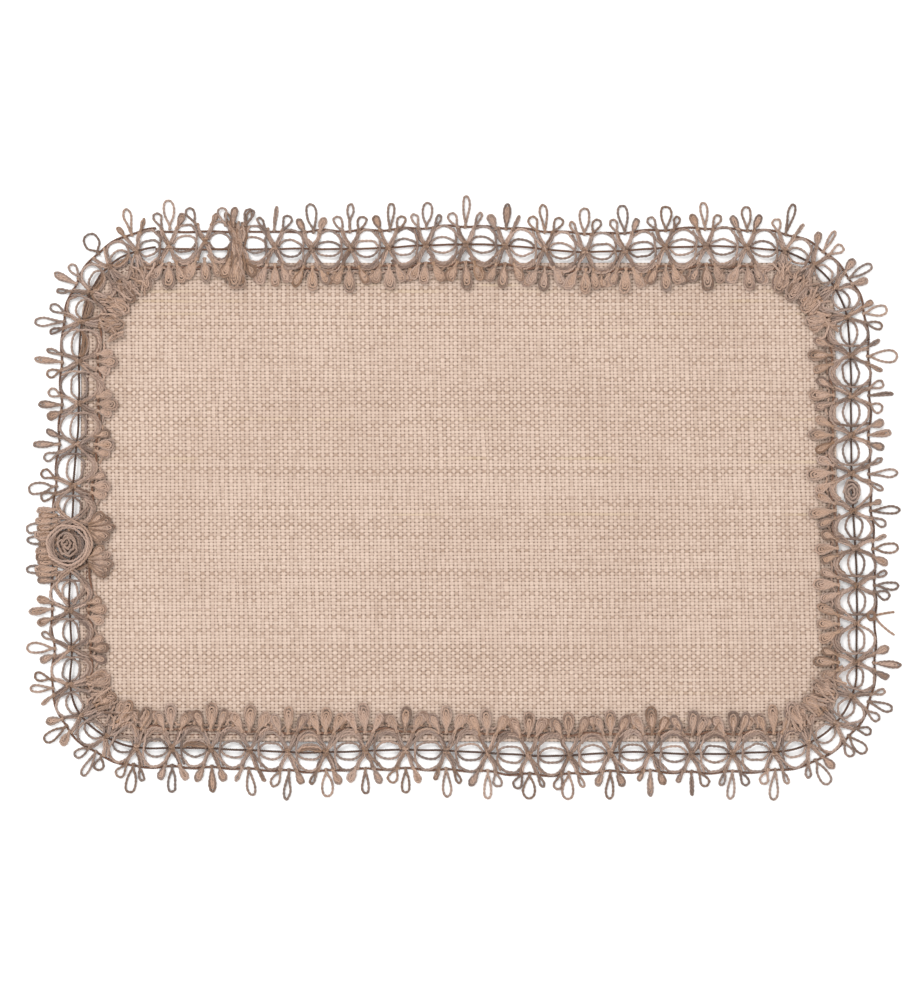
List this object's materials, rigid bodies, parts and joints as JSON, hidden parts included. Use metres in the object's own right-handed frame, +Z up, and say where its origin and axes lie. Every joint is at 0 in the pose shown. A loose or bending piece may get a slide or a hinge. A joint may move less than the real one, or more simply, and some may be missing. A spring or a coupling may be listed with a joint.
{
  "type": "table runner",
  "caption": "Short rectangular table runner of hemmed burlap with rounded corners and a border of open jute galloon lace with looped petals.",
  "frame": {"origin": "centre of the underside: the middle of the whole runner's outline, on the table", "axes": "+X along the long sides, +Y across the runner towards the side with the lap join, +Z up from the table through the cloth"},
  "size_m": [0.4566, 0.3128, 0.0069],
  "materials": {
    "burlap": "plain-woven natural burlap, matt and slightly hairy",
    "jute_twine": "two-ply jute twine, matt with loose fibres",
    "wale_thread": "brown chain-stitched thread, matt",
    "sewing_thread": "reddish brown sewing thread, slight sheen",
    "hem_thread": "burlap-coloured sewing thread, slight sheen"
  },
  "bodies": {
    "root": {"burlap_panel": "burlap", "hem_seam": "hem_thread", "lace_seam": "sewing_thread", "outer_wale_top": "wale_thread", "outer_wale_right": "wale_thread", "outer_wale_bottom": "wale_thread", "outer_wale_left": "wale_thread", "outer_wale_corners": "wale_thread", "middle_wale_top": "wale_thread", "middle_wale_right": "wale_thread", "middle_wale_bottom": "wale_thread", "middle_wale_left": "wale_thread", "middle_wale_corners": "wale_thread", "inner_wale_top": "wale_thread", "inner_wale_right": "wale_thread", "inner_wale_bottom": "wale_thread", "inner_wale_left": "wale_thread", "inner_wale_corners": "wale_thread", "under_twine_top": "jute_twine", "under_twine_right": "jute_twine", "under_twine_bottom": "jute_twine", "under_twine_left": "jute_twine", "under_twine_corners": "jute_twine", "over_twine_top": "jute_twine", "over_twine_right": "jute_twine", "over_twine_bottom": "jute_twine", "over_twine_left": "jute_twine", "over_twine_corners": "jute_twine", "eye_twine_top": "jute_twine", "eye_twine_right": "jute_twine", "eye_twine_bottom": "jute_twine", "eye_twine_left": "jute_twine", "eye_twine_corners": "jute_twine", "outer_petals_top": "jute_twine", "outer_petals_right": "jute_twine", "outer_petals_bottom": "jute_twine", "outer_petals_left": "jute_twine", "outer_petals_corners": "jute_twine", "inner_petals_top": "jute_twine", "inner_petals_right": "jute_twine", "inner_petals_bottom": "jute_twine", "inner_petals_left": "jute_twine", "inner_petals_corners": "jute_twine", "rosette_loop": "jute_twine", "rosette_coil": "jute_twine", "rosette_outer_petals": "jute_twine", "rosette_inner_petals": "jute_twine", "lap_join_strands": "jute_twine", "lap_join_petals": "jute_twine", "wound_eye": "jute_twine", "tail_knot": "jute_twine", "edge_knot": "jute_twine"}
  },
  "joints": []
}
